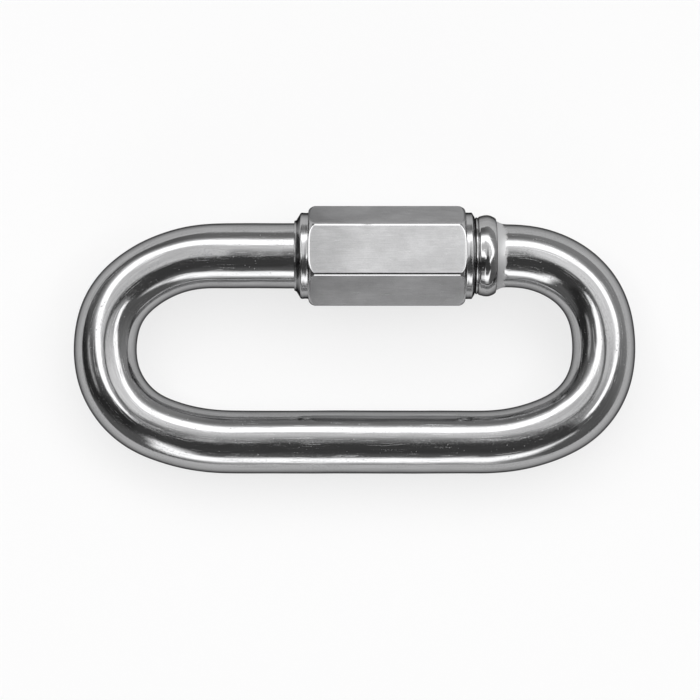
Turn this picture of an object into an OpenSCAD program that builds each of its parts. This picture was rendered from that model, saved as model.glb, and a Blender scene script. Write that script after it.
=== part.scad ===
// Chain quick link: a bar bent to a long eye, with a gap in one side that a
// threaded sleeve nut closes. Millimetres. The link lies flat in the XY plane:
// X runs along it, +Y points to the side with the nut, and the origin is the
// middle of the eye.

/* [Link] */
// Length over the crowns of both bows
link_l = 89; // [80:0.5:100]
// Width over both straight sides, without the nut
link_w = 39.5; // [36:0.5:44]
// Diameter of the bent bar
bar_d = 10; // [8:0.1:11]

/* [Left bow] */
// Radius of the crown, on the middle of the bar
left_crown_r = 16.5; // [14:0.5:19]
// Turn of the crown towards the nut's side, in degrees
left_upper_crown_turn = 15; // [8:1:18]
// Turn of the crown towards the plain side, in degrees
left_lower_crown_turn = 9; // [6:1:14]
// Radius of the slack bend that leads into the shank
left_upper_shoulder_r = 20; // [18:0.5:22]
// Turn of that bend, in degrees
left_upper_shoulder_turn = 42; // [38:1:44]
// Radius of the slack bend that leads into the plain side
left_lower_shoulder_r = 32; // [28:0.5:36]
// Turn of that bend, in degrees
left_lower_shoulder_turn = 22; // [18:1:26]

/* [Right bow] */
// Radius of the crown, on the middle of the bar
right_crown_r = 20.5; // [17:0.5:23]
// How far the crown's top stands towards the nut's side
right_crown_rise = 0.25; // [0:0.05:0.5]
// Turn of the crown towards the nut's side, in degrees
right_upper_crown_turn = 11; // [6:1:14]
// Turn of the crown towards the plain side, in degrees
right_lower_crown_turn = 8; // [5:1:12]
// Radius of the slack bend that leads into the bead's end
right_upper_shoulder_r = 16; // [14:0.5:18]
// Turn of that bend, in degrees
right_upper_shoulder_turn = 33; // [28:1:35]
// Radius of the slack bend that leads into the plain side
right_lower_shoulder_r = 28; // [24:0.5:32]
// Turn of that bend, in degrees
right_lower_shoulder_turn = 25; // [20:1:28]

/* [Shank and studs] */
// Diameter of the shank and of both studs, taken at the middle of the thread's depth
shank_d = 10.4; // [10.1:0.1:11.5]
// Length over which the shank narrows to the bar before the left bow
shank_taper_l = 2; // [1:0.5:4]
// Gap between the tips of the two studs
gate_gap = 10.6; // [8:0.1:14]
// Length of the short stud, from the bead's face to its tip
short_stud_l = 4.5; // [3:0.5:7]
// Chamfer around the tip of each stud
stud_chamfer = 0.8; // [0.4:0.1:1.5]

/* [Bead] */
// Diameter of the bead's flat face, which the nut tightens against
bead_face_d = 11.4; // [10.8:0.1:11.8]
// Diameter of the rim around that face
bead_rim_d = 12; // [11.9:0.1:12.4]
// Length of the chamfer between the face and the rim
bead_chamfer_l = 0.3; // [0.2:0.05:0.5]
// Diameter of the bead at its crest
bead_crest_d = 12.9; // [12.6:0.1:14]
// Distance from the bead's face to its crest
bead_crest_x = 1.85; // [1.4:0.05:2.2]
// Diameter of the bead at its back edge
bead_back_d = 11.8; // [11:0.1:12.4]
// Distance from the bead's face to its back edge
bead_back_x = 3.2; // [2.6:0.1:3.6]
// Length of the bead from its face to the end of the hollow behind it
bead_l = 4.3; // [3.8:0.1:5]
// Straight bar between the bead and the right bow
bead_to_bow = 1.7; // [1:0.1:3]

/* [Sleeve nut] */
// Length of the nut
nut_l = 28.5; // [26:0.1:34]
// Width across the nut's flats
nut_af = 14; // [13.9:0.1:17]
// Diameter to which the hexagon's corners are turned down
nut_corner_d = 16; // [15.5:0.1:16.1]
// Turn of the nut about the shank, in degrees; below zero its front flat leans to +Y
nut_turn = -7; // [-30:0.1:30]
// Diameter of the bore, over the crests of its thread
nut_bore_d = 10.8; // [10.6:0.1:11]
// Diameter of the collars at both ends
nut_collar_d = 13.6; // [13:0.1:13.8]
// Diameter of the left end face, outside the bore
nut_left_face_d = 11.2; // [11.1:0.1:12]
// Length of the cone at the left end
nut_left_cone_l = 1; // [0.6:0.1:1.8]
// Length of the left collar, the cone included
nut_left_collar_l = 2.2; // [1.9:0.1:3]
// Diameter of the right end face
nut_right_face_d = 12.1; // [11.8:0.1:12.8]
// Length of the chamfer at the right end
nut_right_chamfer_l = 0.5; // [0.3:0.1:0.8]
// Length of the right collar, the chamfer included
nut_right_collar_l = 1.5; // [1:0.1:2]
// Space left between the tightened nut and the bead's face
seat_gap = 0.05; // [0.02:0.01:0.1]

/* [Hidden] */
$fn = 96;

// Steps in each rounded stretch of a turned outline
arc_steps = 8;
// How far a cut runs past the face that it opens
overrun = 1;
// The bar is drawn this much thinner at the crowns and shoulders, whose arcs
// run on by the lap into the full bar on both sides
bend_thinning = 0.06;
bend_lap = 0.2;
// The rounded ends of the hexagon stay this far under its turned corners
nut_round_step = 0.02;

bar_r = bar_d / 2;
bend_d = bar_d - bend_thinning;
shank_r = shank_d / 2;
// Distance from the origin to the middle of the bar, at the crowns' tops
crown_x = (link_l - bend_d) / 2;
// The same at the straight sides
side_y = (link_w - bar_d) / 2;

// A half bow is three arcs that meet tangent: crown, corner and shoulder. The
// crown and the shoulder are given, and this is the corner radius that joins
// them at a height h above the crown's top.
function corner_r(crown_r, crown_turn, shoulder_r, shoulder_turn, h) =
    (h - crown_r * sin(crown_turn) - shoulder_r * (1 - cos(shoulder_turn)))
    / (cos(shoulder_turn) - sin(crown_turn));

// Distance along X from the crown's top to the end of the shoulder
function bow_reach(crown_r, crown_turn, shoulder_r, shoulder_turn, h) =
    crown_r * (1 - cos(crown_turn))
    + corner_r(crown_r, crown_turn, shoulder_r, shoulder_turn, h)
        * (cos(crown_turn) - sin(shoulder_turn))
    + shoulder_r * sin(shoulder_turn);

left_upper_bow_x = -crown_x + bow_reach(
    left_crown_r, left_upper_crown_turn,
    left_upper_shoulder_r, left_upper_shoulder_turn, side_y);
left_lower_bow_x = -crown_x + bow_reach(
    left_crown_r, left_lower_crown_turn,
    left_lower_shoulder_r, left_lower_shoulder_turn, side_y);
right_upper_bow_x = crown_x - bow_reach(
    right_crown_r, right_upper_crown_turn,
    right_upper_shoulder_r, right_upper_shoulder_turn, side_y - right_crown_rise);
right_lower_bow_x = crown_x - bow_reach(
    right_crown_r, right_lower_crown_turn,
    right_lower_shoulder_r, right_lower_shoulder_turn, side_y + right_crown_rise);

// Places along the upper side, from the right bow back to the left stud
bead_face_x = right_upper_bow_x - bead_to_bow - bead_l;
short_stud_tip_x = bead_face_x - short_stud_l;
long_stud_tip_x = short_stud_tip_x - gate_gap;
nut_right_x = bead_face_x - seat_gap;
nut_left_x = nut_right_x - nut_l;

// Points of a quarter of an ellipse between two [radius, x] points, without the
// first one. This one starts square to the turning axis and ends along it.
function across_then_along(from, to) = [
    for (i = [1 : arc_steps])
        let (a = 90 * i / arc_steps)
        [from[0] + (to[0] - from[0]) * sin(a),
         from[1] + (to[1] - from[1]) * (1 - cos(a))]
];

// This one starts along the turning axis and ends square to it
function along_then_across(from, to) = [
    for (i = [1 : arc_steps])
        let (a = 90 * i / arc_steps)
        [from[0] + (to[0] - from[0]) * (1 - cos(a)),
         from[1] + (to[1] - from[1]) * sin(a)]
];

// Turns outlines of [radius, x] points about the middle of the upper side
module turned_on_side() {
    translate([0, side_y, 0])
        rotate([0, 90, 0])
            rotate_extrude()
                children();
}

// One arc of bar. Its turns are counted from the crown's top towards the
// straight side, and it runs on by the given length at both ends.
module bar_arc(centre, r, start_turn, end_turn, d, lap) {
    lap_turn = lap / r * 180 / PI;
    translate([centre[0], centre[1], 0])
        rotate_extrude(
            angle = end_turn - start_turn + 2 * lap_turn,
            start = 180 - end_turn - lap_turn)
            translate([r, 0])
                circle(d = d);
}

module thin_arc(centre, r, start_turn, end_turn) {
    bar_arc(centre, r, start_turn, end_turn, bend_d, bend_lap);
}

module full_arc(centre, r, start_turn, end_turn) {
    bar_arc(centre, r, start_turn, end_turn, bar_d, 0);
}

// Corner and shoulder of a half bow, with its crown's top at the origin and
// its straight side towards +X and +Y
module corner_and_shoulder(crown_r, crown_turn, shoulder_r, shoulder_turn, h) {
    mid_r = corner_r(crown_r, crown_turn, shoulder_r, shoulder_turn, h);
    mid_turn = 90 - shoulder_turn;
    corner_centre = [crown_r, 0]
        + (crown_r - mid_r) * [-cos(crown_turn), sin(crown_turn)];
    shoulder_centre = corner_centre
        + (mid_r - shoulder_r) * [-cos(mid_turn), sin(mid_turn)];
    full_arc(corner_centre, mid_r, crown_turn, mid_turn);
    thin_arc(shoulder_centre, shoulder_r, mid_turn, 90);
}

module left_bow() {
    translate([-crown_x, 0, 0]) {
        thin_arc(
            [left_crown_r, 0], left_crown_r,
            -left_lower_crown_turn, left_upper_crown_turn);
        corner_and_shoulder(
            left_crown_r, left_upper_crown_turn,
            left_upper_shoulder_r, left_upper_shoulder_turn, side_y);
        mirror([0, 1, 0])
            corner_and_shoulder(
                left_crown_r, left_lower_crown_turn,
                left_lower_shoulder_r, left_lower_shoulder_turn, side_y);
    }
}

module right_bow() {
    translate([crown_x, right_crown_rise, 0])
        mirror([1, 0, 0]) {
            thin_arc(
                [right_crown_r, 0], right_crown_r,
                -right_lower_crown_turn, right_upper_crown_turn);
            corner_and_shoulder(
                right_crown_r, right_upper_crown_turn,
                right_upper_shoulder_r, right_upper_shoulder_turn,
                side_y - right_crown_rise);
            mirror([0, 1, 0])
                corner_and_shoulder(
                    right_crown_r, right_lower_crown_turn,
                    right_lower_shoulder_r, right_lower_shoulder_turn,
                    side_y + right_crown_rise);
        }
}

module plain_side() {
    translate([left_lower_bow_x, -side_y, 0])
        rotate([0, 90, 0])
            cylinder(d = bar_d, h = right_lower_bow_x - left_lower_bow_x);
}

// The shank from the left bow to the long stud's tip
module long_stud() {
    turned_on_side() polygon([
        [0, left_upper_bow_x],
        [bar_r, left_upper_bow_x],
        [shank_r, left_upper_bow_x + shank_taper_l],
        [shank_r, long_stud_tip_x - stud_chamfer],
        [shank_r - stud_chamfer, long_stud_tip_x],
        [0, long_stud_tip_x]
    ]);
}

// The short stud, the bead and the bar up to the right bow
module short_stud() {
    rim = [bead_rim_d / 2, bead_face_x + bead_chamfer_l];
    crest = [bead_crest_d / 2, bead_face_x + bead_crest_x];
    back = [bead_back_d / 2, bead_face_x + bead_back_x];
    hollow_end = [bar_r, bead_face_x + bead_l];
    turned_on_side() polygon(concat(
        [
            [0, short_stud_tip_x],
            [shank_r - stud_chamfer, short_stud_tip_x],
            [shank_r, short_stud_tip_x + stud_chamfer],
            [shank_r, bead_face_x],
            [bead_face_d / 2, bead_face_x],
            rim
        ],
        across_then_along(rim, crest),
        along_then_across(crest, back),
        across_then_along(back, hollow_end),
        [
            [bar_r, right_upper_bow_x],
            [0, right_upper_bow_x]
        ]
    ));
}

module link_body() {
    color("silver") {
        left_bow();
        right_bow();
        plain_side();
        long_stud();
        short_stud();
    }
}

// Outside of the nut as turned, before its flats are cut
module nut_turned() {
    corner_r = nut_corner_d / 2;
    collar_r = nut_collar_d / 2;
    round_r = corner_r - collar_r - nut_round_step;
    left_round_x = nut_left_x + nut_left_collar_l + round_r;
    right_round_x = nut_right_x - nut_right_collar_l - round_r;
    turned_on_side() {
        polygon([
            [0, nut_left_x],
            [nut_left_face_d / 2, nut_left_x],
            [collar_r, nut_left_x + nut_left_cone_l],
            [collar_r, left_round_x],
            [corner_r, left_round_x],
            [corner_r, right_round_x],
            [collar_r, right_round_x],
            [collar_r, nut_right_x - nut_right_chamfer_l],
            [nut_right_face_d / 2, nut_right_x],
            [0, nut_right_x]
        ]);
        for (round_x = [left_round_x, right_round_x])
            translate([collar_r, round_x])
                circle(r = round_r);
    }
}

module sleeve_nut() {
    color("lightgray")
        difference() {
            intersection() {
                nut_turned();
                translate([nut_left_x - overrun, side_y, 0])
                    rotate([nut_turn, 0, 0])
                        rotate([0, 90, 0])
                            rotate([0, 0, 30])
                                cylinder(
                                    d = nut_af / cos(30),
                                    h = nut_l + 2 * overrun,
                                    $fn = 6);
            }
            translate([nut_left_x - overrun, side_y, 0])
                rotate([0, 90, 0])
                    cylinder(d = nut_bore_d, h = nut_l + 2 * overrun);
        }
}

link_body();
sleeve_nut();
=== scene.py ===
import math
import bmesh
import bpy
import numpy as np
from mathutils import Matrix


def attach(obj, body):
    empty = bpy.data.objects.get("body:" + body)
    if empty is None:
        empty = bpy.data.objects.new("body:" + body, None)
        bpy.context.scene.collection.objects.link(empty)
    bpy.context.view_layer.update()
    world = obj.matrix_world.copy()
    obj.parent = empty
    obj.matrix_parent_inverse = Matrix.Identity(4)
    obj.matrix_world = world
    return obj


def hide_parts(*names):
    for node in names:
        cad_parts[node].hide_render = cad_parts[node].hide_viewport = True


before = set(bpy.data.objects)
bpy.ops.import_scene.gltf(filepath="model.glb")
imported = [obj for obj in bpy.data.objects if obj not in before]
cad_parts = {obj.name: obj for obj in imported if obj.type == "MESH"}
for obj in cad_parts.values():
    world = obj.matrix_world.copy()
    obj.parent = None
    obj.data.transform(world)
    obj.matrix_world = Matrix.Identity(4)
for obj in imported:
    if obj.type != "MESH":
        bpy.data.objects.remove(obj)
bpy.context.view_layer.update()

print("frame loaded:", sorted(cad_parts))

# Lengths are millimetres; meshes are scaled to metres when they are made
metre = 0.001
wrapUnit = 100.0                              # millimetres in one unit of the wrap, the pieces' UV map
thread = {
    "pitch": 1.5,
    "studCrest": 5.70, "studRoot": 4.86,
    "nutRoot": 5.86, "nutCrest": 5.40,
    "studLand": 0.10, "studFlank": 0.31,      # shares of a pitch, from the middle of the crest
    "nutLand": 0.18, "nutFlank": 0.17,
}


def smoothRise(x, low, high):
    t = np.clip((x - low) / (high - low), 0, 1)
    return t * t * (3 - 2 * t)


def between(x, low, lowTo, highFrom, high):
    # 1 between two places, with a soft start and end
    return smoothRise(x, low, lowTo) * (1 - smoothRise(x, highFrom, high))


def threadForm(x, turn, land, flank):
    # 1 along a stud's crest and 0 in its root; right-handed along +X
    p = np.mod(x / thread["pitch"] - turn / (2 * math.pi), 1.0)
    return 1 - smoothRise(np.minimum(p, 1 - p), land, land + flank)


def roundedLine(points, radius, steps=4):
    # takes the corners off a line of [x, r] points, each by its own or the common radius
    out = [points[0][:2]]
    for before, here, after in zip(points, points[1:], points[2:]):
        cut = here[2] if len(here) > 2 else radius
        b, h, a = (np.array(p[:2], float) for p in (before, here, after))
        toB, toA = b - h, a - h
        lengthB, lengthA = np.linalg.norm(toB), np.linalg.norm(toA)
        reach = min(cut, 0.45 * lengthB, 0.45 * lengthA)
        if reach <= 0:
            out.append(list(h))
            continue
        start, end = h + toB / lengthB * reach, h + toA / lengthA * reach
        for k in range(steps + 1):
            t = k / steps
            out.append(list((1 - t) ** 2 * start + 2 * t * (1 - t) * h + t * t * end))
    out.append(points[-1][:2])
    return out


def fillLine(points, spacing):
    # adds points wherever two neighbours lie further apart than the spacing
    out = [points[0]]
    for a, b in zip(points, points[1:]):
        n = max(1, math.ceil(math.dist(a, b) / spacing))
        out += [[a[0] + (b[0] - a[0]) * k / n, a[1] + (b[1] - a[1]) * k / n] for k in range(1, n + 1)]
    return np.array(out)


def gridPiece(name, rows, along, around, closed, values=None):
    # a skin over rows of points; open ends get a fan, a closed one joins its last row to its first
    count, cols = rows.shape[:2]
    verts = rows.reshape(-1, 3) * metre
    u = np.broadcast_to(along / wrapUnit, (count, cols))
    v = around / wrapUnit
    faces, corners = [], []
    for i in range(count if closed else count - 1):
        k = (i + 1) % count
        for j in range(cols):
            m = (j + 1) % cols
            faces.append((i * cols + j, i * cols + m, k * cols + m, k * cols + j))
            corners += [(u[i, j], v[j]), (u[i, m], v[j + 1]), (u[k, m], v[j + 1]), (u[k, j], v[j])]
    if not closed:
        verts = np.vstack([verts, verts[:cols].mean(0), verts[-cols:].mean(0)])
        for row, tip in ((0, count * cols), (count - 1, count * cols + 1)):
            for j in range(cols):
                m = (j + 1) % cols
                faces.append((tip, row * cols + m, row * cols + j))
                corners += [(u[row, j], v[j]), (u[row, m], v[j + 1]), (u[row, j], v[j])]
    mesh = bpy.data.meshes.new(name)
    mesh.from_pydata(verts.tolist(), [], faces)
    wrap = mesh.uv_layers.new(name="wrap")
    wrap.data.foreach_set("uv", np.array(corners, np.float32).ravel())
    if values is not None:
        extra = np.zeros(len(verts), np.float32)
        extra[: values.size] = values.ravel()
        mesh.attributes.new("flatness", "FLOAT", "POINT").data.foreach_set("value", extra)
    shaped = bmesh.new()
    shaped.from_mesh(mesh)
    bmesh.ops.recalc_face_normals(shaped, faces=shaped.faces)
    shaped.to_mesh(mesh)
    shaped.free()
    mesh.polygons.foreach_set("use_smooth", [True] * len(mesh.polygons))
    mesh.update()
    piece = bpy.data.objects.new(name, mesh)
    bpy.context.scene.collection.objects.link(piece)
    triangles = sum(len(p.vertices) - 2 for p in mesh.polygons)
    print(f"{name}: {len(mesh.vertices)} points, {triangles} triangles")
    return piece


# The link, one bar swept along its bent path
link = {
    "crownX": 39.53, "sideY": 14.75, "barRadius": 5.0,
    # crown radius and turn, shoulder radius and turn, in degrees
    "leftUpper": (16.5, 15, 20, 42), "leftLower": (16.5, 9, 32, 22),
    "rightUpper": (20.5, 11, 16, 33), "rightLower": (20.5, 8, 28, 25),
    "rightRise": 0.25,
    "shortTip": 14.538, "longTip": 3.938,
    "softening": 1.3,                         # how far the bends' ends are eased, along the bar
    "sides": 96, "arcPoints": 60, "pathEvery": 0.1,
    "ringEvery": 0.5, "threadEvery": 0.125, "detailEvery": 0.22,
    "shankRadius": 5.18, "shankTo": -18.5, "shankFrom": -30.0,
    "studRadius": 4.95, "studTaper": 0.6, "rounding": 0.1,
    "longThread": (-7.9, 2.9), "shortThread": (15.5, 18.1),
    "threadMargin": 0.4, "threadIn": 0.9, "threadOut": 0.5,
    "waves": 0.012, "waveSeed": 7,
    # wavelengths along the bar, each with its share
    "waveMix": ((31, 1.0), (17, 0.8), (9, 0.35), (5.2, 0.16), (3.1, 0.07)),
    "waveStart": (8.0, 12.0), "waveEnd": 3.0, "waveLeast": 0.15,
    "faceRadius": 4.4, "faceReach": 1.0,      # the studs' flat end faces
    # from the short stud's tip past the bead to the bar: [x, radius, own rounding]
    "beadLine": [
        [14.538, 0.4], [14.538, 4.35, 0.12], [15.2, 4.95, 0.2], [15.5, 4.95, 0.05],
        [18.1, 4.95, 0.05], [18.55, 4.9, 0.1], [19.038, 4.9, 0.08], [19.038, 5.86, 0.07],
        [19.15, 6.06, 0.06], [19.36, 6.10, 0.07], [19.49, 5.98, 0.05], [19.58, 6.12, 0.05],
        [19.80, 6.25, 0.08], [20.12, 6.33, 0.1], [20.52, 6.43, 0.12], [20.78, 6.45, 0.1],
        [21.08, 6.45, 0.1], [21.32, 6.41, 0.1], [21.58, 6.33, 0.1], [21.86, 6.21, 0.12],
        [22.10, 6.08, 0.1], [22.34, 5.90, 0.05], [22.42, 5.52, 0.05], [22.65, 5.38, 0.1],
        [23.05, 5.18, 0.2], [23.5, 5.04, 0.2], [24.0, 5.0, 0.2], [24.6, 5.0],
    ],
    # from the long stud's tip back: [distance from the tip, radius, own rounding]
    "tipLine": [[0.0, 0.4], [0.0, 4.4, 0.12], [0.75, 5.0, 0.2], [1.1, 4.95]],
}


def outward(t):
    return np.array([-math.cos(t), math.sin(t)])


def halfBow(crownR, crownTurn, shoulderR, shoulderTurn, height):
    # crown, corner and shoulder, from the crown's top to the straight side
    t1, s3 = math.radians(crownTurn), math.radians(shoulderTurn)
    t2 = math.pi / 2 - s3
    left = height - crownR * math.sin(t1) - shoulderR * (1 - math.cos(s3))
    cornerR = left / (math.cos(s3) - math.sin(t1))
    c1 = np.array([crownR, 0.0])
    c2 = c1 + (crownR - cornerR) * outward(t1)
    c3 = c2 + (cornerR - shoulderR) * outward(t2)
    arcs = ((c1, crownR, 0, t1), (c2, cornerR, t1, t2), (c3, shoulderR, t2, math.pi / 2))
    out = []
    for centre, r, start, end in arcs:
        for t in np.linspace(start, end, link["arcPoints"], endpoint=False):
            out.append(centre + r * outward(t))
    out.append(c3 + np.array([0, shoulderR]))
    return np.array(out)


def pathLengths(points):
    # the distance along a path at each of its points
    return np.concatenate([[0], np.cumsum(np.hypot(*np.diff(points, axis=0).T))])


def samplePath(where, lengths, points):
    return np.stack([np.interp(where, lengths, points[:, k]) for k in (0, 1)], 1)


def barPath():
    # from the short stud's tip round the right bow, along the plain side and back to the long tip
    rise, side, crown, step = link["rightRise"], link["sideY"], link["crownX"], link["pathEvery"]
    rightUp = halfBow(*link["rightUpper"], side - rise) * [-1, 1] + [crown, rise]
    rightDown = halfBow(*link["rightLower"], side + rise) * [-1, -1] + [crown, rise]
    leftUp = halfBow(*link["leftUpper"], side) + [-crown, 0]
    leftDown = halfBow(*link["leftLower"], side) * [1, -1] + [-crown, 0]
    drawn = np.vstack([
        [[link["shortTip"], side]], rightUp[::-1], rightDown[1:],
        leftDown[::-1], leftUp[1:], [[link["longTip"], side]]])
    lengths = pathLengths(drawn)
    path = samplePath(np.arange(0, lengths[-1], step), lengths, drawn)
    # ease the curvature where arcs meet, with both ends run on straight meanwhile
    reach = int(4 * link["softening"] / step)
    weight = np.exp(-0.5 * (np.arange(-reach, reach + 1) * step / link["softening"]) ** 2)
    weight /= weight.sum()
    head = path[0] + np.arange(-reach, 0)[:, None] * (path[1] - path[0])
    tail = path[-1] + np.arange(1, reach + 1)[:, None] * (path[-1] - path[-2])
    padded = np.vstack([head, path, tail])
    eased = np.stack([np.convolve(padded[:, k], weight, "valid") for k in (0, 1)], 1)
    return pathLengths(eased), eased


def barWaves(s, turn):
    # the faint unevenness that bending and polishing leave
    rng = np.random.default_rng(link["waveSeed"])
    out = np.zeros(np.broadcast(s, turn).shape)
    for wavelength, share in link["waveMix"]:
        for around in (0, 1, 2, 3):
            start = rng.uniform(0, 2 * math.pi)
            out += share * 0.5 * np.sin(2 * math.pi * s / wavelength + around * turn + start)
    return out * link["waves"]


def spread(start, end, every):
    return np.linspace(start, end, math.ceil((end - start) / every), endpoint=False)


def linkRings(end):
    # [distance along the bar, radius] of each ring, and where the long stud's thread begins
    bar, shank, stud = link["barRadius"], link["shankRadius"], link["studRadius"]
    margin = link["threadMargin"]

    def fromTip(x):
        return end - (link["longTip"] - x)

    rings = []
    bead = roundedLine(link["beadLine"], link["rounding"])
    for a, b in zip(bead, bead[1:]):
        threaded = a[0] > link["shortThread"][0] - margin and b[0] < link["shortThread"][1] + margin
        every = link["threadEvery"] if threaded else link["detailEvery"]
        n = max(1, math.ceil(math.dist(a, b) / every))
        rings += [[a[0] + (b[0] - a[0]) * k / n, a[1] + (b[1] - a[1]) * k / n] for k in range(n)]
    rings = [[x - link["shortTip"], r] for x, r in rings]
    threadStart = fromTip(link["longThread"][0]) - margin
    tip = fillLine(roundedLine(link["tipLine"], link["rounding"]), link["detailEvery"])[::-1]
    middle = spread(link["beadLine"][-1][0] - link["shortTip"], threadStart, link["ringEvery"])
    grow = smoothRise(middle, fromTip(link["shankFrom"]), fromTip(link["shankTo"]))
    rings += [[m, bar + (shank - bar) * g] for m, g in zip(middle, grow)]
    back = spread(threadStart, end - tip[0][0], link["threadEvery"])
    taper = smoothRise(back, threadStart, threadStart + link["studTaper"])
    rings += [[b, shank + (stud - shank) * g] for b, g in zip(back, taper)]
    rings += [[end - d, r] for d, r in tip]
    return np.array(rings), threadStart


def buildLink():
    s, path = barPath()
    end = s[-1]
    tangent = np.gradient(path, s, axis=0)
    tangent /= np.linalg.norm(tangent, axis=1, keepdims=True)
    rings, threadStart = linkRings(end)
    along, radius = rings[:, 0], rings[:, 1:2]
    sides = link["sides"]
    turn = -math.pi / 2 + 2 * math.pi * np.arange(sides) / sides      # the seam runs along the underside
    at, heading = samplePath(along, s, path), samplePath(along, s, tangent)
    across = np.stack([-heading[:, 1], heading[:, 0]], 1)
    radius = np.repeat(radius, sides, 1)
    # threads, phased by X alone so that one nut fits both studs
    x, nutSide = at[:, 0:1], at[:, 1:2] > 0
    form = threadForm(x, math.pi / 2 - turn[None, :], thread["studLand"], thread["studFlank"])
    rise = thread["studRoot"] - link["studRadius"] + form * (thread["studCrest"] - thread["studRoot"])
    for low, high in (link["longThread"], link["shortThread"]):
        window = between(x, low, low + link["threadIn"], high - link["threadOut"], high) * nutSide
        radius += window * rise
    where, least = along[:, None], link["waveLeast"]
    wavy = between(where, *link["waveStart"], threadStart - link["waveEnd"], threadStart)
    radius += barWaves(where, turn[None, :]) * (least + (1 - least) * wavy)
    rows = np.empty((len(rings), sides, 3))
    rows[:, :, 0] = at[:, 0:1] + radius * np.cos(turn) * across[:, 0:1]
    rows[:, :, 1] = at[:, 1:2] + radius * np.cos(turn) * across[:, 1:2]
    rows[:, :, 2] = radius * np.sin(turn)
    wrapAround = np.arange(sides + 1) / sides * 2 * math.pi * link["barRadius"]
    # the wrap runs on over the studs' end faces, towards their middles
    inward = np.clip(link["faceRadius"] - rings[:, 1], 0, None)
    nearStart, nearEnd = along < link["faceReach"], along > end - link["faceReach"]
    wrapAlong = along - inward * nearStart + inward * nearEnd
    link["length"] = end
    return gridPiece("linkBar", rows, wrapAlong[:, None], wrapAround, closed=False)


linkBar = buildLink()
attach(linkBar, "link")
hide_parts("link_body")

# The sleeve nut, a turned profile cut by six flats, with a threaded bore
nut = {
    "axisY": 14.75, "left": -9.512, "right": 18.988,
    "halfFlats": 7.0, "lean": 7.0,
    # a corner's section: [distance, slope away from its flat in degrees]
    "bevel": [(0.0, 0), (0.04, 16), (0.26, 16), (0.295, 30), (0.33, 44), (0.55, 44), (0.59, 60)],
    # how finely it is walked, and which of those steps become columns
    "bevelSteps": 530,
    "bevelPicks": (0, 18, 36, 100, 170, 234, 250, 265, 280, 296, 360, 430, 494, 512, 530),
    "flatColumns": 12, "flatEdge": 0.99, "wrapSide": 8.1,
    "step": 6.84, "leftStep": -7.312, "rightStep": 17.56,
    "roundLength": 1.25, "roundHeight": 1.127, "roundRows": 12,
    # how the flats fall off beside their rounded ends
    "rollWidth": 0.34, "rollSlopes": (12, 24), "rollRows": 8, "rollBeyond": [0.38, 0.6, 1.0, 1.6],
    "bodyInset": (3.4, 3.3), "bodyEvery": 0.65, "endEvery": 0.12, "endRounding": 0.1,
    "brightFrom": (28.0, 28.25),              # degrees from a flat's middle to its shining corner
    "boreRows": 10,                           # rows for each turn of the thread
    "boreThread": (-8.2, 19.0), "boreFade": 1.2, "boreInset": (0.06, 0.12),
    "leftEnd": [
        [-9.512, 5.46], [-9.512, 5.53, 0.04], [-9.2, 5.66, 0.12], [-8.52, 6.78, 0.12],
        [-8.3, 6.85, 0.1], [-7.9, 6.81, 0.3], [-7.6, 6.80, 0.2], [-7.312, 6.84],
    ],
    "rightEnd": [
        [17.56, 6.84], [17.72, 6.87, 0.05], [18.1, 6.84, 0.2], [18.54, 6.87, 0.12],
        [18.988, 6.18, 0.07], [18.988, 5.50],
    ],
    # the burr: place, height, half length, bearing from the flat's middle and half width in degrees
    "nickX": 2.1, "nickHeight": 0.07, "nickLength": 0.35, "nickTurn": 28.5, "nickWidth": 1.3,
}


def bevelLine():
    # the corner's section, walked along from the end of one flat to the start of the next
    steps, half = nut["bevelSteps"], nut["halfFlats"]
    along = np.linspace(0, nut["bevel"][-1][0], steps + 1)
    slope = np.radians(np.interp(along, *zip(*nut["bevel"])))
    px = np.concatenate([[0], np.cumsum(np.cos(slope[:-1]) * along[1])])
    py = np.concatenate([[0], np.cumsum(-np.sin(slope[:-1]) * along[1])])
    middle = steps // 2
    reach = math.tan(math.radians(30)) * (half + py[middle]) - px[middle]
    return reach, [(reach + px[i], half + py[i], along[i]) for i in nut["bevelPicks"]]


def hexSection():
    # bearings around the axis and the radius there, with more of them on the bevelled corners
    reach, bevel = bevelLine()
    edge = nut["flatEdge"]
    bearings, radii, across = [], [], []
    for k in range(6):
        start = math.radians(nut["lean"] + 60 * k)
        shares = [-edge, *np.linspace(-1, 1, nut["flatColumns"])[1:-1], edge]
        line = [(reach * t, nut["halfFlats"], reach * (t - 1)) for t in shares]
        for px, py, along in line + bevel:
            bearings.append(start + math.atan2(px, py))
            radii.append(math.hypot(px, py))
            across.append(reach + along + k * nut["wrapSide"])
    return np.array(bearings), np.array(radii), np.array(across)


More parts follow.
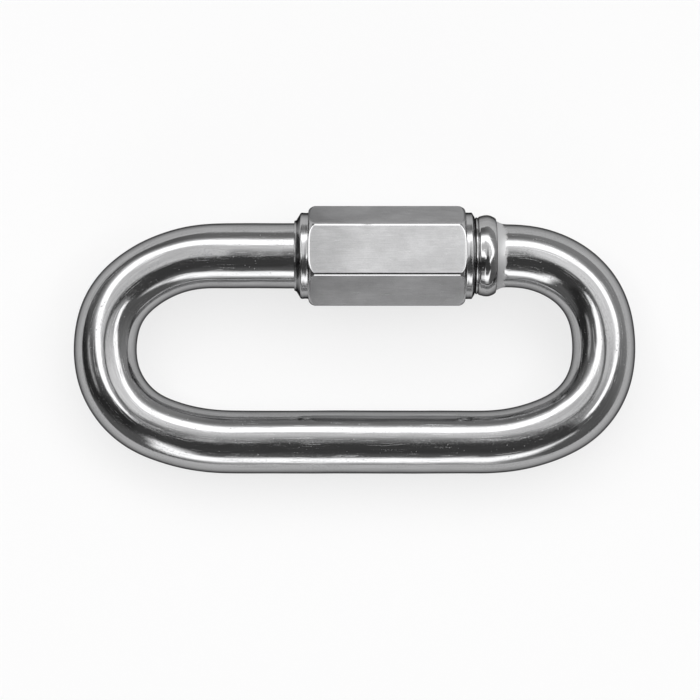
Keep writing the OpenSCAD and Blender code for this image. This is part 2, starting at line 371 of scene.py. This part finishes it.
def outerRows(turn, hexRadius):
    # place along the axis, radius and share of flat, from the left end to the right
    step, tall, long, width = nut["step"], nut["roundHeight"], nut["roundLength"], nut["rollWidth"]
    # where each column leaves the rounded end for its flat
    slopes = np.tan(np.radians(nut["rollSlopes"]))
    leave = np.arcsin(np.clip((hexRadius - width * slopes.mean() - step) / tall, 0.02, 0.97))
    shares = np.linspace(0, 1, nut["roundRows"])[1:, None]
    depths = np.concatenate([np.linspace(0, width, nut["rollRows"])[1:], nut["rollBeyond"]])[:, None]
    parts = []

    def addRows(x, r, flat):
        empty = np.zeros((len(x), len(turn)))
        parts.append((x + empty, r + empty, flat + empty))

    def roundedEnd(edgeX, side, order):
        # the rounding, then the flat falling away from it
        angles = shares * leave[None, :]
        edge = edgeX + side * long * (1 - np.cos(leave))[None, :]
        left = np.clip(width - depths, 0, None)
        roll = slopes[0] * left + (slopes[1] - slopes[0]) / (2 * width) * left ** 2
        shine = smoothRise(depths, width - 0.04, width + 0.03)
        roundX = edgeX + side * long * (1 - np.cos(angles))
        rounding = (roundX, step + tall * np.sin(angles), 0.0 * shares)
        falling = (edge + side * depths, hexRadius[None, :] - roll, shine)
        for x, r, flat in (rounding, falling)[::order]:
            addRows(x[::order], r[::order], flat[::order])

    def turnedEnd(points):
        line = fillLine(roundedLine(points, nut["endRounding"]), nut["endEvery"])
        addRows(line[:, 0:1], line[:, 1:2], 0.0)

    turnedEnd(nut["leftEnd"])
    roundedEnd(nut["leftStep"], 1, 1)
    insetLeft, insetRight = nut["bodyInset"]
    body = np.arange(nut["leftStep"] + insetLeft, nut["rightStep"] - insetRight, nut["bodyEvery"])
    addRows(body[:, None], hexRadius[None, :], 1.0)
    roundedEnd(nut["rightStep"], -1, -1)
    turnedEnd(nut["rightEnd"])
    x, radius, flatness = (np.vstack(part) for part in zip(*parts))

    # the bevelled corners shine like the turned faces
    lean, side = math.radians(nut["lean"]), math.pi / 3
    fromFlat = np.abs(np.mod(turn - lean + side / 2, side) - side / 2)
    flatness = flatness * (1 - smoothRise(fromFlat, *np.radians(nut["brightFrom"])))[None, :]
    # a small burr where a spanner slipped on the front flat's upper edge
    corner = (turn[None, :] - lean - math.radians(nut["nickTurn"])) / math.radians(nut["nickWidth"])
    lengthwise = (x - nut["nickX"]) / nut["nickLength"]
    return x, radius + nut["nickHeight"] * np.exp(-lengthwise ** 2 - corner ** 2), flatness


def boreRows(turn):
    # the threaded bore, from the right end back to the left
    (low, high), fade = nut["boreThread"], nut["boreFade"]
    insetLeft, insetRight = nut["boreInset"]
    start, end = nut["right"] - insetRight, nut["left"] + insetLeft
    x = np.linspace(start, end, int((start - end) / thread["pitch"] * nut["boreRows"]))[:, None]
    form = threadForm(x, turn[None, :], thread["nutLand"], thread["nutFlank"])
    depth = between(x, low, low + fade, high - fade, high) * form
    return x + 0 * turn[None, :], thread["nutCrest"] + depth * (thread["nutRoot"] - thread["nutCrest"])


def buildNut():
    turn, hexRadius, across = hexSection()
    outerX, outerR, flatness = outerRows(turn, hexRadius)
    boreX, boreR = boreRows(turn)
    x, radius = np.vstack([outerX, boreX]), np.vstack([outerR, boreR])
    flatness = np.vstack([flatness, np.zeros_like(boreR)])
    rows = np.empty((len(x), len(turn), 3))
    rows[:, :, 0] = x
    rows[:, :, 1] = nut["axisY"] + radius * np.sin(turn)
    rows[:, :, 2] = radius * np.cos(turn)
    around = np.append(across, 6 * nut["wrapSide"] + across[0])
    return gridPiece("sleeveNut", rows, x, around, closed=True, values=flatness)


sleeveNut = buildNut()
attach(sleeveNut, "nut")
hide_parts("sleeve_nut")


# Small helpers for node trees
def addNode(tree, kind, inputs=None, **settings):
    made = tree.nodes.new(kind)
    for key, value in settings.items():
        setattr(made, key, value)
    for key, value in (inputs or {}).items():
        if isinstance(value, bpy.types.NodeSocket):
            tree.links.new(value, made.inputs[key])
        else:
            made.inputs[key].default_value = value
    return made


def calc(tree, operation, a, b=0.0, clamp=False):
    return addNode(tree, "ShaderNodeMath", {0: a, 1: b}, operation=operation, use_clamp=clamp).outputs[0]


def sums(tree):
    # short forms of what a tree does most
    def times(a, b):
        return calc(tree, "MULTIPLY", a, b)

    def plus(a, b):
        return calc(tree, "ADD", a, b)

    def minus(a, b):
        return calc(tree, "SUBTRACT", a, b)

    return times, plus, minus


def remap(tree, value, low, high, toLow=0.0, toHigh=1.0):
    inputs = {"Value": value, "From Min": low, "From Max": high, "To Min": toLow, "To Max": toHigh}
    inputs = {key: v if isinstance(v, bpy.types.NodeSocket) else float(v) for key, v in inputs.items()}
    return addNode(tree, "ShaderNodeMapRange", inputs, interpolation_type="SMOOTHSTEP").outputs["Result"]


def blendValues(tree, share, a, b):
    return addNode(tree, "ShaderNodeMix", {0: share, 2: a, 3: b}, data_type="FLOAT").outputs[0]


def vectorCalc(tree, operation, a, b=(0.0, 0.0, 0.0)):
    made = addNode(tree, "ShaderNodeVectorMath", {0: a, 1: b}, operation=operation)
    return made.outputs["Value" if operation in ("DOT_PRODUCT", "DISTANCE", "LENGTH") else "Vector"]


def scaled(tree, vector, factor):
    made = addNode(tree, "ShaderNodeVectorMath", {0: vector, "Scale": factor}, operation="SCALE")
    return made.outputs["Vector"]


def wrapPlace(tree):
    # distance along and around the piece, in millimetres
    wrap = addNode(tree, "ShaderNodeUVMap", uv_map="wrap")
    split = addNode(tree, "ShaderNodeSeparateXYZ", {0: wrap.outputs["UV"]})
    return [calc(tree, "MULTIPLY", split.outputs[k], wrapUnit) for k in (0, 1)]


def cells(tree, along, around, perAlong, perAround, shift=0.0):
    # a place in a pattern with its own number of features per millimetre in each direction
    across = calc(tree, "MULTIPLY", along, perAlong)
    upward = calc(tree, "MULTIPLY", around, perAround)
    return addNode(tree, "ShaderNodeCombineXYZ", {0: across, 1: upward, 2: shift}).outputs[0]


def grain(tree, along, around, perAlong, perAround, detail, shift, rough=0.5):
    place = cells(tree, along, around, perAlong, perAround, shift)
    inputs = {"Vector": place, "Scale": 1.0, "Detail": detail, "Roughness": rough}
    return addNode(tree, "ShaderNodeTexNoise", inputs).outputs[0]


def newFinish(name, edgeTint):
    finish = bpy.data.materials.new(name)
    finish.use_nodes = True
    tree = finish.node_tree
    tree.nodes.clear()
    shader = addNode(tree, "ShaderNodeBsdfPrincipled")
    out = addNode(tree, "ShaderNodeOutputMaterial")
    tree.links.new(shader.outputs[0], out.inputs[0])
    shader.inputs["Metallic"].default_value = 1.0
    shader.inputs["Specular Tint"].default_value = (edgeTint, edgeTint, edgeTint, 1.0)
    return finish, tree, shader


def steelColour(tree, tone, blue):
    # a grey with a little more blue
    bluer = calc(tree, "MULTIPLY", tone, blue)
    return addNode(tree, "ShaderNodeCombineColor", {0: tone, 1: tone, 2: bluer}).outputs[0]


def bump(tree, height, distance, under=None):
    inputs = {"Height": height, "Distance": distance, "Strength": 1.0}
    if under is not None:
        inputs["Normal"] = under
    return addNode(tree, "ShaderNodeBump", inputs).outputs[0]


evenNoise = (0.3, 0.7)                        # the range that a noise mostly keeps to

polish = {
    "tone": (0.385, 0.435), "blue": 1.008, "edgeTint": 0.08, "roughness": 0.03,
    # grains: features per millimetre along and around, detail, shift, own roughness
    "streaks": (0.16, 2.4, 4.0, 1.3, 0.6), "hairs": (0.14, 5.5, 2.0, 5.1),
    "cloud": (0.18, 0.3, 3.0, 9.7), "patches": (0.11, 0.35, 2.0, 31.0),
    "grit": (3.0, 4.2, 3.0, 27.0, 0.7), "peel": (0.45, 0.6, 2.0, 14.2),
    "rings": (16.0, 0.25, 3.0, 21.0), "fray": (0.9, 0.8, 3.0, 3.3),
    # the range of a grain over which its mark comes up
    "hairRange": (0.60, 0.70), "patchRange": (0.40, 0.62), "gritRange": (0.40, 0.74),
    "gritLeast": 0.45,                        # share of the grit between patches
    "pitCells": (1.2, 1.5), "pitRange": (0.07, 0.15), "pitsFrom": 0.62,
    # what each mark adds to the roughness, and what it leaves of the tone
    "cloudRough": 0.06, "hairRough": 0.14, "gritRough": 0.22, "pitRough": 0.4,
    "gritTone": 0.86, "pitTone": 0.72,
    # depths in metres
    "streakDepth": 4.5e-6, "hairDepth": 3.5e-6, "gritDepth": 1.2e-6,
    "peelDepth": 6e-6, "pitDepth": 4e-6, "ringDepth": 1.2e-6,
    # the band beside the bead that was ground and not polished again, along the bar
    "groundRise": (7.83, 7.95), "groundFall": (8.8, 9.45), "groundFray": 0.28,
    "groundTone": (0.60, 0.64), "groundRoughness": (0.54, 0.68),
    # the studs' end faces were turned
    "facedRise": 0.08, "facedIn": 0.02, "facedRoughness": (0.20, 0.34),
}


def polishedBar():
    finish, tree, shader = newFinish("polishedBar", polish["edgeTint"])
    times, plus, minus = sums(tree)
    along, around = wrapPlace(tree)

    def noise(kind):
        return grain(tree, along, around, *polish[kind])

    streaks, cloud, peel, rings = noise("streaks"), noise("cloud"), noise("peel"), noise("rings")
    hairs = remap(tree, noise("hairs"), *polish["hairRange"])
    patches = remap(tree, noise("patches"), *polish["patchRange"])
    grit = remap(tree, noise("grit"), *polish["gritRange"])
    grit = times(grit, remap(tree, patches, 0.0, 1.0, polish["gritLeast"], 1.0))
    pitPlace = cells(tree, along, around, *polish["pitCells"])
    pits = addNode(tree, "ShaderNodeTexVoronoi", {"Vector": pitPlace, "Scale": 1.0})
    chosen = addNode(tree, "ShaderNodeSeparateColor", {0: pits.outputs["Color"]}).outputs[0]
    chosen = calc(tree, "GREATER_THAN", chosen, polish["pitsFrom"])
    pitted = times(remap(tree, pits.outputs["Distance"], *polish["pitRange"], 1.0, 0.0), chosen)

    fray = polish["groundFray"]
    frayed = plus(along, remap(tree, noise("fray"), *evenNoise, -fray, fray))
    ground = times(remap(tree, along, *polish["groundRise"]),
                   remap(tree, frayed, *polish["groundFall"], 1.0, 0.0))
    rise, into, end = polish["facedRise"], polish["facedIn"], link["length"]
    faced = calc(tree, "MAXIMUM", remap(tree, along, -into, rise, 1.0, 0.0),
                 remap(tree, along, end - rise, end + into))
    cut = calc(tree, "MAXIMUM", ground, faced)
    smooth = minus(1.0, cut)

    roughness = plus(polish["roughness"], times(cloud, polish["cloudRough"]))
    for mark, kind in ((hairs, "hairRough"), (grit, "gritRough"), (pitted, "pitRough")):
        roughness = plus(roughness, times(mark, polish[kind]))
    facedRough = remap(tree, rings, *evenNoise, *polish["facedRoughness"])
    groundRough = remap(tree, rings, *evenNoise, *polish["groundRoughness"])
    roughness = blendValues(tree, faced, roughness, facedRough)
    tree.links.new(blendValues(tree, ground, roughness, groundRough), shader.inputs["Roughness"])

    tone = remap(tree, streaks, *evenNoise, *polish["tone"])
    for mark, kind in ((pitted, "pitTone"), (grit, "gritTone")):
        tone = times(tone, remap(tree, mark, 0.0, 1.0, 1.0, polish[kind]))
    tone = blendValues(tree, ground, tone, remap(tree, rings, *evenNoise, *polish["groundTone"]))
    tree.links.new(steelColour(tree, tone, polish["blue"]), shader.inputs["Base Color"])

    normal = bump(tree, peel, polish["peelDepth"])
    normal = bump(tree, times(streaks, smooth), polish["streakDepth"], normal)
    normal = bump(tree, times(hairs, smooth), -polish["hairDepth"], normal)
    normal = bump(tree, times(grit, smooth), -polish["gritDepth"], normal)
    normal = bump(tree, pitted, -polish["pitDepth"], normal)
    normal = bump(tree, times(rings, cut), polish["ringDepth"], normal)
    tree.links.new(normal, shader.inputs["Normal"])
    return finish


satin = {
    "tone": (0.475, 0.565), "blue": 1.01, "edgeTint": 0.0, "roughness": (0.26, 0.33),
    # grains, as for the polish
    "fine": (0.30, 7.0, 4.0, 2.0, 0.65), "speckle": (4.0, 6.0, 2.0, 35.0, 0.6),
    "cloud": (0.16, 0.25, 2.0, 12.0), "blotch": (0.7, 1.1, 3.0, 47.0, 0.6),
    "lines": (0.12, 9.0, 2.0, 61.0), "turned": (14.0, 0.12, 3.0, 23.0),
    "fineShare": 0.6, "toneRange": (0.35, 0.65), "lineRange": (0.60, 0.72),
    "cloudTone": (0.96, 1.04), "blotchTone": (0.96, 1.03),
    "paintedShadeSpan": (-9.0, 2.5), "paintedShadeLeft": 0.76,               # painted shade: the flats are darker towards the left, standing in for the light falling off there
    # short scratches: turn in degrees, shift, where the mask starts, features per millimetre
    "scratches": ((2, 17, 0.68, 0.22), (38, 41, 0.72, 0.6), (-27, 53, 0.72, 0.4)),
    "scratchesAcross": 5.0, "scratchDetail": 2.0, "scratchEdge": 0.06,
    "scratchTone": 0.05, "lineTone": 0.035, "fineRough": 0.06, "scratchRough": 0.10,
    "grainDepth": 1.6e-6, "scratchDepth": 3e-6,
    "turnedTone": (0.39, 0.45), "turnedRoughness": (0.13, 0.21), "turnedDepth": 8e-7,
}


def scratchMask(tree, along, around, turn, shift, low, perLength):
    # short scratches that run at an angle to the piece
    times, plus, minus = sums(tree)
    c, s = math.cos(math.radians(turn)), math.sin(math.radians(turn))
    u = plus(times(along, c), times(around, s))
    v = minus(times(around, c), times(along, s))
    noise = grain(tree, u, v, perLength, satin["scratchesAcross"], satin["scratchDetail"], shift)
    return remap(tree, noise, low, low + satin["scratchEdge"])


def satinNut():
    finish, tree, shader = newFinish("satinNut", satin["edgeTint"])
    times, plus, minus = sums(tree)
    along, around = wrapPlace(tree)
    attribute = {"attribute_name": "flatness", "attribute_type": "GEOMETRY"}
    flat = addNode(tree, "ShaderNodeAttribute", **attribute).outputs["Fac"]

    def noise(kind):
        return grain(tree, along, around, *satin[kind])

    fine, speckle, cloud = noise("fine"), noise("speckle"), noise("cloud")
    blotch, turned = noise("blotch"), noise("turned")
    lines = remap(tree, noise("lines"), *satin["lineRange"])
    marks = [scratchMask(tree, along, around, *kind) for kind in satin["scratches"]]
    scratch = calc(tree, "MAXIMUM", calc(tree, "MAXIMUM", marks[0], marks[1]), marks[2])

    mixed = plus(times(fine, satin["fineShare"]), times(speckle, 1 - satin["fineShare"]))
    flatTone = remap(tree, mixed, *satin["toneRange"], *satin["tone"])
    flatTone = times(flatTone, remap(tree, cloud, *evenNoise, *satin["cloudTone"]))
    flatTone = times(flatTone, remap(tree, blotch, *satin["toneRange"], *satin["blotchTone"]))
    # painted shade: the flats' colour darkens towards the left end
    flatTone = times(flatTone, remap(tree, along, *satin["paintedShadeSpan"], satin["paintedShadeLeft"], 1.0))
    flatTone = plus(flatTone, times(scratch, satin["scratchTone"]))
    flatTone = plus(flatTone, times(lines, satin["lineTone"]))
    turnedTone = remap(tree, turned, *evenNoise, *satin["turnedTone"])
    tone = blendValues(tree, flat, turnedTone, flatTone)
    tree.links.new(steelColour(tree, tone, satin["blue"]), shader.inputs["Base Color"])

    flatRough = remap(tree, cloud, *evenNoise, *satin["roughness"])
    flatRough = plus(flatRough, times(fine, satin["fineRough"]))
    flatRough = minus(flatRough, times(scratch, satin["scratchRough"]))
    turnedRough = remap(tree, turned, *evenNoise, *satin["turnedRoughness"])
    tree.links.new(blendValues(tree, flat, turnedRough, flatRough), shader.inputs["Roughness"])

    normal = bump(tree, times(fine, flat), satin["grainDepth"])
    normal = bump(tree, times(scratch, flat), -satin["scratchDepth"], normal)
    normal = bump(tree, times(turned, minus(1.0, flat)), satin["turnedDepth"], normal)
    tree.links.new(normal, shader.inputs["Normal"])
    return finish


linkBar.data.materials.append(polishedBar())
sleeveNut.data.materials.append(satinNut())
print("finishes made")

# The surround: a strip light curved like a C overhead, open towards -Y, and a window low on that side.
# Places are degrees from straight up, towards +X and +Y. A ramp is: from, to, value at each.
surround = {
    "level": 1.45,                            # at this a matt sheet renders about as its colour is written
    "room": 0.125, "roomRight": 0.20, "roomLean": (0.8, 0.6), "roomRamp": (10, 90),
    "stripCentre": (4.0, 15.7), "stripLight": 2.0,
    # bearing from that centre, distance to the strip's middle, half its width
    "strip": [
        (-180, 38.6, 6.0), (-171, 36.4, 5.5), (-155, 32.0, 5.0), (-136, 27.7, 3.8), (-119, 25.0, 2.6),
        (-112, 24.8, 0.0), (-66, 40.5, 0.0), (-60, 39.6, 3.4), (-47, 38.0, 3.6), (-32, 40.0, 3.8),
        (-20, 43.6, 4.6), (-9, 43.5, 6.0), (5, 39.1, 6.8), (25, 33.0, 7.0), (46, 28.9, 7.4),
        (74, 29.0, 8.6), (97, 30.8, 8.8), (120, 37.0, 8.4), (139, 44.5, 8.0), (155, 43.5, 7.0),
        (171, 40.5, 6.2), (180, 38.6, 6.0)],
    "farthest": 60, "widest": 10,
    "stripInside": (-2.5, 1.0), "stripOutside": (1.0, 3.5, 0.5), "stripEnds": (0.5, 3.0),
    "glow": 0.62, "glowRight": 0.45, "glowPower": 1.5,
    "glowOut": (6, 30, 1, 0), "glowUp": (-8, 16), "glowAcross": (0, 60),
    "innerEdge": (-6, 0, 1, 0), "innerAcross": (-14, 10, 0.74, 1.0), "innerUp": (-10, 6, 0.45, 1.0),
    "slotX": 1.0, "slotWidth": 3.2, "slotSpread": 0.70, "slotLight": 0.06,
    "slotEdge": (-1, 2, 1, 0), "slotNear": (-50, -36), "slotCut": (2, 10, 1, 0),
    "slotDeep": ((4, 34, 0.84, 0), (-8, 4, 0.16, 0)),
    # chains of places with half widths
    "darkPath": [(-100, 26, 9), (-86, -2, 9), (-70, -20, 7), (-48, -28, 6), (-12, -27, 6)],
    "darkEdge": (0, 17.0, 1, 0), "darkLight": 0.03,
    "patchPath": [(-60, 2, 0), (-50, -15, 0)], "patchEdge": (0, 7, 0.5, 0),
    "windowPath": [
        (-17, -38, -3), (-18, -44, 0), (-19, -54, 2), (-18, -66, 7.5), (0, -70, 6.5), (13, -62, 5),
        (20, -54, 0.5), (29, -43, -2)],
    "windowEdge": (-2, 8.0, 1, 0), "windowLight": 1.75,
    "windowGlow": (0, 34, 0.34, 0), "windowGlowY": -84.0, "windowSquash": 1.56,
}


def curveOf(tree, value, points, scale):
    # a curve drawn through the listed points, over bearings from -180 to 180
    node = addNode(tree, "ShaderNodeFloatCurve", {"Value": value})
    line = node.mapping.curves[0].points
    line[0].location = (0.0, points[0][1] / scale)
    line[1].location = (1.0, points[-1][1] / scale)
    for bearing, height in points[1:-1]:
        line.new((bearing + 180) / 360, height / scale)
    for point in line:
        point.handle_type = "AUTO_CLAMPED"
    node.mapping.update()
    return calc(tree, "MULTIPLY", node.outputs[0], scale)


def chainDistance(tree, place, points):
    # how far a place lies outside a chain of straight pieces that changes in width
    nearest = None
    for (ax, ay, aWide), (bx, by, bWide) in zip(points, points[1:]):
        span = (bx - ax, by - ay, 0.0)
        square = span[0] ** 2 + span[1] ** 2
        fromStart = vectorCalc(tree, "SUBTRACT", place, (ax, ay, 0.0))
        part = vectorCalc(tree, "DOT_PRODUCT", fromStart, span)
        part = calc(tree, "MULTIPLY", part, 1 / square, clamp=True)
        gap = vectorCalc(tree, "DISTANCE", fromStart, scaled(tree, span, part))
        gap = calc(tree, "SUBTRACT", gap, blendValues(tree, part, float(aWide), float(bWide)))
        nearest = gap if nearest is None else calc(tree, "MINIMUM", nearest, gap)
    return nearest


def buildSurround():
    world = bpy.data.worlds.new("studio")
    bpy.context.scene.world = world
    world.use_nodes = True
    tree = world.node_tree
    tree.nodes.clear()
    sky = surround
    times, plus, minus = sums(tree)
    ray = addNode(tree, "ShaderNodeTexCoord").outputs["Generated"]
    height = addNode(tree, "ShaderNodeSeparateXYZ", {0: ray}).outputs[2]
    fromTop = times(calc(tree, "ARCCOSINE", height), 180 / math.pi)
    level = vectorCalc(tree, "NORMALIZE", vectorCalc(tree, "MULTIPLY", ray, (1.0, 1.0, 0.0)))
    place = scaled(tree, level, fromTop)
    across, upward = addNode(tree, "ShaderNodeSeparateXYZ", {0: place}).outputs[:2]

    def ramp(value, kind):
        return remap(tree, value, *sky[kind])

    def chain(kind):
        return chainDistance(tree, place, sky[kind])

    def over(mask, under, value):
        return blendValues(tree, mask, under, value)

    # the room, lighter to the right and far side, dark along the left and near side
    toRight = plus(times(across, sky["roomLean"][0]), times(upward, sky["roomLean"][1]))
    light = plus(sky["room"], times(ramp(toRight, "roomRamp"), sky["roomRight"]))
    light = over(ramp(chain("darkPath"), "darkEdge"), light, sky["darkLight"])
    light = plus(light, ramp(chain("patchPath"), "patchEdge"))

    # bearing and distance from the strip's centre, and how far outside its middle line that is
    dx, dy = minus(across, sky["stripCentre"][0]), minus(upward, sky["stripCentre"][1])
    distance = calc(tree, "SQRT", plus(times(dx, dx), times(dy, dy)))
    turn = plus(times(calc(tree, "ARCTAN2", dy, dx), 0.5 / math.pi), 0.5)
    middle = curveOf(tree, turn, [(b, r) for b, r, w in sky["strip"]], sky["farthest"])
    wide = curveOf(tree, turn, [(b, w) for b, r, w in sky["strip"]], sky["widest"])
    off = minus(distance, middle)

    # a glow outside the strip and an even light inside
    glow = calc(tree, "POWER", times(ramp(off, "glowOut"), ramp(upward, "glowUp")), sky["glowPower"])
    glowAcross = remap(tree, across, *sky["glowAcross"], sky["glow"], sky["glowRight"] * sky["glow"])
    light = plus(light, times(glow, glowAcross))
    inner = times(ramp(across, "innerAcross"), ramp(upward, "innerUp"))
    light = over(ramp(off, "innerEdge"), light, inner)

    # a dark slot from the opening towards the middle, wider on the near side
    widening = times(calc(tree, "MAXIMUM", times(upward, -1.0), 0.0), sky["slotSpread"])
    fromSlot = calc(tree, "ABSOLUTE", minus(across, sky["slotX"]))
    offSlot = minus(fromSlot, plus(sky["slotWidth"], widening))
    far, near = (remap(tree, upward, *fade) for fade in sky["slotDeep"])
    slot = times(times(ramp(offSlot, "slotEdge"), plus(far, near)), ramp(upward, "slotNear"))
    light = over(slot, light, sky["slotLight"])

    # the strip itself, softer outside where it is wider
    start, soft, share = sky["stripOutside"]
    within = ramp(plus(off, wide), "stripInside")
    outside = plus(minus(off, wide), start)
    beyond = remap(tree, outside, 0, plus(times(wide, share), soft), 1, 0)
    strip = times(times(within, beyond), ramp(wide, "stripEnds"))
    strip = times(strip, minus(1.0, times(slot, ramp(upward, "slotCut"))))
    light = over(strip, light, sky["stripLight"])

    # the low window round a dark shape
    below = minus(upward, sky["windowGlowY"])
    squashed = times(times(below, below), sky["windowSquash"])
    fromGlow = calc(tree, "SQRT", plus(times(across, across), squashed))
    light = plus(light, ramp(fromGlow, "windowGlow"))
    light = over(ramp(chain("windowPath"), "windowEdge"), light, sky["windowLight"])
    lit = {"Color": (1.0, 1.0, 1.0, 1.0), "Strength": times(light, sky["level"])}
    back = addNode(tree, "ShaderNodeBackground", lit)
    out = addNode(tree, "ShaderNodeOutputWorld")
    tree.links.new(back.outputs[0], out.inputs[0])


buildSurround()

# The floor, a pale sheet that carries the plain side and the nut's lowest corner
floor = {
    "size": 3000.0,
    "sideY": -14.75, "sideZ": -5.03,          # the plain side's underside
    "cornerReach": 7.97, "clearance": 0.05,   # from the nut's axis to its lowest corner
    "slopeTo": 45.0, "nearRows": (-70, 80, 2.0), "farRows": (100, 200, 400), "columns": (60, 200),
    "smoothing": 9,                           # rows that the change of slope is spread over
    "tone": 0.9, "white": 0.72,               # its colour, and how much of it is plain white to the eye
    "fade": (0.6, 2.8), "farTone": 0.36,      # metres over which it falls off into the room
}


def floorMesh():
    cornerAngle = math.radians(30 - nut["lean"])
    touchY = nut["axisY"] + floor["cornerReach"] * math.sin(cornerAngle)
    touchZ = -floor["cornerReach"] * math.cos(cornerAngle) - floor["clearance"]
    slope = (touchZ - floor["sideZ"]) / (touchY - floor["sideY"])
    far = np.array([*floor["farRows"], floor["size"]])
    ys = np.concatenate([-far[::-1], np.arange(*floor["nearRows"]), far])
    # sloped under the link and level further out
    zs = floor["sideZ"] + slope * (np.clip(ys, -floor["slopeTo"], floor["slopeTo"]) - floor["sideY"])
    count = floor["smoothing"]
    inner = slice(count - 1, 1 - count)
    zs[inner] = np.convolve(zs, np.ones(count) / count, "same")[inner]
    side = np.array([*floor["columns"], floor["size"]])
    xs = np.concatenate([-side[::-1], side])
    verts = [(x * metre, y * metre, z * metre) for y, z in zip(ys, zs) for x in xs]
    n = len(xs)
    faces = [(i * n + j, i * n + j + 1, (i + 1) * n + j + 1, (i + 1) * n + j)
             for i in range(len(ys) - 1) for j in range(n - 1)]
    mesh = bpy.data.meshes.new("paleSheet")
    mesh.from_pydata(verts, [], faces)
    mesh.polygons.foreach_set("use_smooth", [True] * len(mesh.polygons))
    return mesh


def palePaper():
    paper = bpy.data.materials.new("palePaper")
    paper.use_nodes = True
    tree = paper.node_tree
    tree.nodes.clear()
    times = sums(tree)[0]
    # the sheet looks as white in the steel as it does to the camera, and keeps the link's shadow
    path = addNode(tree, "ShaderNodeLightPath").outputs
    direct = calc(tree, "MAXIMUM", path["Is Camera Ray"], path["Is Glossy Ray"])
    direct = calc(tree, "MAXIMUM", direct, path["Is Transmission Ray"])
    place = addNode(tree, "ShaderNodeNewGeometry").outputs["Position"]
    near = remap(tree, vectorCalc(tree, "LENGTH", place), *floor["fade"], 1.0, 0.0)
    seen = times(times(direct, near), floor["white"])
    tone = blendValues(tree, near, floor["farTone"], floor["tone"])
    grey = addNode(tree, "ShaderNodeCombineColor", {0: tone, 1: tone, 2: tone})
    matt = addNode(tree, "ShaderNodeBsdfDiffuse", {"Color": grey.outputs[0]})
    white = addNode(tree, "ShaderNodeEmission", {"Color": (1.0, 1.0, 1.0, 1.0), "Strength": 1.0})
    mixed = addNode(tree, "ShaderNodeMixShader", {0: seen, 1: matt.outputs[0], 2: white.outputs[0]})
    out = addNode(tree, "ShaderNodeOutputMaterial")
    tree.links.new(mixed.outputs[0], out.inputs[0])
    return paper


sheet = bpy.data.objects.new("paleSheet", floorMesh())
bpy.context.scene.collection.objects.link(sheet)
sheet.data.materials.append(palePaper())

# The camera, straight above and far enough to see the bar's sides evenly
view = {"centre": (-0.71, -0.17), "height": 500.0, "width": 110.9, "sensor": 36.0}
lens = bpy.data.cameras.new("above")
lens.sensor_width = view["sensor"]
lens.lens = view["sensor"] * view["height"] / view["width"]
camera = bpy.data.objects.new("above", lens)
camera.location = [view["centre"][0] * metre, view["centre"][1] * metre, view["height"] * metre]
bpy.context.scene.collection.objects.link(camera)
bpy.context.scene.camera = camera
bpy.context.scene.view_settings.view_transform = "Standard"
print("surround, floor and camera made")
